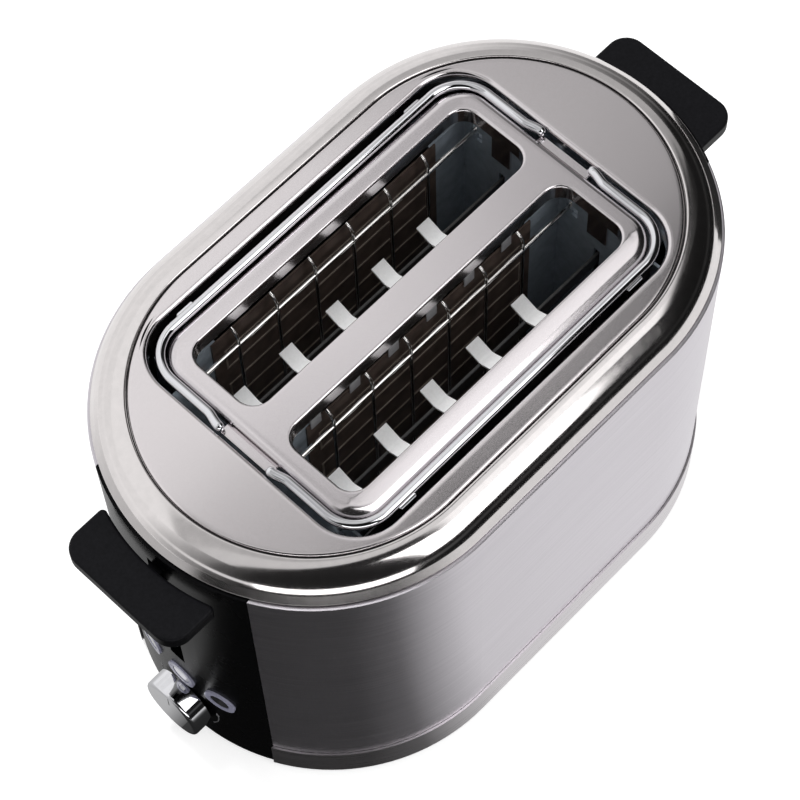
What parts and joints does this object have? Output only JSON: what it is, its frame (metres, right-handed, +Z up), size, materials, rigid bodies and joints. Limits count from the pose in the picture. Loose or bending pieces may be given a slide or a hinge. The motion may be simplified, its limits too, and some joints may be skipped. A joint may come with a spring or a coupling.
{
  "type": "toaster",
  "caption": "Long toaster with rounded ends, side-by-side bread slots, brushed steel sides, black end caps and levers, and a wire rack that rises round the slots.",
  "frame": {"origin": "centre of the footprint, on the table under the feet", "axes": "+X along the toaster from the control end to the rack lever's end, +Z up, -Y the long side seen in the picture"},
  "size_m": [0.315, 0.174, 0.1875],
  "materials": {
    "base_plastic": "moulded black",
    "rubber": "matt black",
    "screw_steel": "zinc plated",
    "plinth_steel": "brushed along its length",
    "side_steel": "brushed along its length",
    "cap_plastic": "satin black",
    "inlet_plastic": "moulded black",
    "polished_steel": "mirror polished",
    "panel_steel": "fine satin",
    "slot_plate_steel": "fine satin, rolled slot rims",
    "frame_steel": "aluminised grey",
    "shield_steel": "aluminised grey",
    "mica": "brown mica board",
    "ribbon_alloy": "dull heating ribbon",
    "guide_wire": "bright wire",
    "rod_steel": "ground rod",
    "core_iron": "stacked iron",
    "coil_wire": "enamelled winding",
    "slider_steel": "zinc plated",
    "spring_steel": "spring wire",
    "lifter_steel": "stamped strip",
    "lever_plastic": "satin black",
    "rocker_steel": "zinc plated",
    "terminal_plastic": "off-white",
    "lift_steel": "zinc plated",
    "rack_chrome": "bright chrome",
    "knob_chrome": "bright chrome",
    "component_plastic": "moulded",
    "circuit_laminate": "paper laminate",
    "ring_plastic": "translucent pale",
    "button_chrome": "bright chrome",
    "tray_steel": "thin steel pan"
  },
  "bodies": {
    "housing": {"base": "base_plastic", "rubber_feet": "rubber", "base_screws": "screw_steel", "front_plinth": "plinth_steel", "rear_plinth": "plinth_steel", "front_side": "side_steel", "rear_side": "side_steel", "control_end_cap": "cap_plastic", "far_end_cap": "cap_plastic", "cord_inlet": "inlet_plastic", "trim_ring": "polished_steel", "top_panel": "panel_steel", "slot_plate": "slot_plate_steel", "near_frame_plate": "frame_steel", "far_frame_plate": "frame_steel", "front_heat_shield": "shield_steel", "rear_heat_shield": "shield_steel", "front_outer_board": "mica", "front_inner_board": "mica", "rear_inner_board": "mica", "rear_outer_board": "mica", "front_outer_ribbon": "ribbon_alloy", "front_inner_ribbon": "ribbon_alloy", "rear_inner_ribbon": "ribbon_alloy", "rear_outer_ribbon": "ribbon_alloy", "carriage_bracket": "frame_steel", "carriage_guide_rods": "rod_steel", "magnet_core": "core_iron", "magnet_coil": "coil_wire", "far_bracket": "frame_steel", "far_shelf": "frame_steel", "lift_guide_rods": "rod_steel", "lever_guide_rods": "rod_steel", "terminal_block": "terminal_plastic", "potentiometer": "component_plastic", "circuit_board": "circuit_laminate", "switches": "component_plastic", "button_rings": "ring_plastic"},
    "toast_carriage": {"toast_lever": "lever_plastic", "carriage_slider": "slider_steel", "armature": "core_iron", "front_lifter": "lifter_steel", "rear_lifter": "lifter_steel", "carriage_spring": "spring_steel"},
    "rack_lever": {"rack_lever": "lever_plastic", "rack_slider": "slider_steel"},
    "rack_lift": {"rack_lift_frame": "lift_steel", "front_rack_rod": "rack_chrome", "rear_rack_rod": "rack_chrome"},
    "rocker": {"rocker_arm": "rocker_steel"},
    "guide_front_outer": {"front_outer_guide": "guide_wire"},
    "guide_front_inner": {"front_inner_guide": "guide_wire"},
    "guide_rear_inner": {"rear_inner_guide": "guide_wire"},
    "guide_rear_outer": {"rear_outer_guide": "guide_wire"},
    "browning_knob": {"browning_knob": "knob_chrome", "knob_shaft": "rod_steel"},
    "front_button": {"front_button": "button_chrome"},
    "middle_button": {"middle_button": "button_chrome"},
    "rear_button": {"rear_button": "button_chrome"},
    "crumb_tray": {"crumb_tray": "tray_steel"}
  },
  "joints": [
    {"name": "toast_carriage_slide", "type": "slide", "parent": "housing", "child": "toast_carriage", "axis": [0, 0, -1], "range_m": [0, 0.075], "stiffness_N_per_m": 150, "springref_m": -0.07, "deforming": ["carriage_spring"]},
    {"name": "rack_lever_slide", "type": "slide", "parent": "housing", "child": "rack_lever", "axis": [0, 0, -1], "range_m": [0, 0.028]},
    {"name": "rack_lift_slide", "type": "slide", "parent": "housing", "child": "rack_lift", "axis": [0, 0, 1], "range_m": [0, 0.028]},
    {"name": "rocker_pivot", "type": "hinge", "parent": "housing", "child": "rocker", "pos_m": [0.08775, 0, 0.136], "axis": [1, 0, 0], "range_deg": [0, 60.52]},
    {"name": "front_outer_guide_slide", "type": "slide", "parent": "housing", "child": "guide_front_outer", "axis": [0, 1, 0], "range_m": [0, 0.003]},
    {"name": "front_inner_guide_slide", "type": "slide", "parent": "housing", "child": "guide_front_inner", "axis": [0, -1, 0], "range_m": [0, 0.003]},
    {"name": "rear_inner_guide_slide", "type": "slide", "parent": "housing", "child": "guide_rear_inner", "axis": [0, 1, 0], "range_m": [0, 0.003]},
    {"name": "rear_outer_guide_slide", "type": "slide", "parent": "housing", "child": "guide_rear_outer", "axis": [0, -1, 0], "range_m": [0, 0.003]},
    {"name": "browning_knob_turn", "type": "hinge", "parent": "housing", "child": "browning_knob", "pos_m": [-0.1425, 0, 0.027], "axis": [-1, 0, 0], "range_deg": [-135, 135]},
    {"name": "front_button_press", "type": "slide", "parent": "housing", "child": "front_button", "axis": [0.9731, 0.2305, 0], "range_m": [0, 0.0015], "stiffness_N_per_m": 300, "springref_m": -0.002},
    {"name": "middle_button_press", "type": "slide", "parent": "housing", "child": "middle_button", "axis": [1, 0, 0], "range_m": [0, 0.0015], "stiffness_N_per_m": 300, "springref_m": -0.002},
    {"name": "rear_button_press", "type": "slide", "parent": "housing", "child": "rear_button", "axis": [0.9731, -0.2305, 0], "range_m": [0, 0.0015], "stiffness_N_per_m": 300, "springref_m": -0.002},
    {"name": "crumb_tray_slide", "type": "slide", "parent": "housing", "child": "crumb_tray", "axis": [1, 0, 0], "range_m": [0, 0.15]}
  ],
  "couplings": [
    {"joint": "rack_lift_slide", "follows": "rack_lever_slide", "ratio": 1},
    {"joint": "rocker_pivot", "follows": "rack_lever_slide", "rad_per_m": 37.72},
    {"joint": "front_outer_guide_slide", "follows": "toast_carriage_slide", "ratio": 0.04},
    {"joint": "front_inner_guide_slide", "follows": "toast_carriage_slide", "ratio": 0.04},
    {"joint": "rear_inner_guide_slide", "follows": "toast_carriage_slide", "ratio": 0.04},
    {"joint": "rear_outer_guide_slide", "follows": "toast_carriage_slide", "ratio": 0.04}
  ]
}
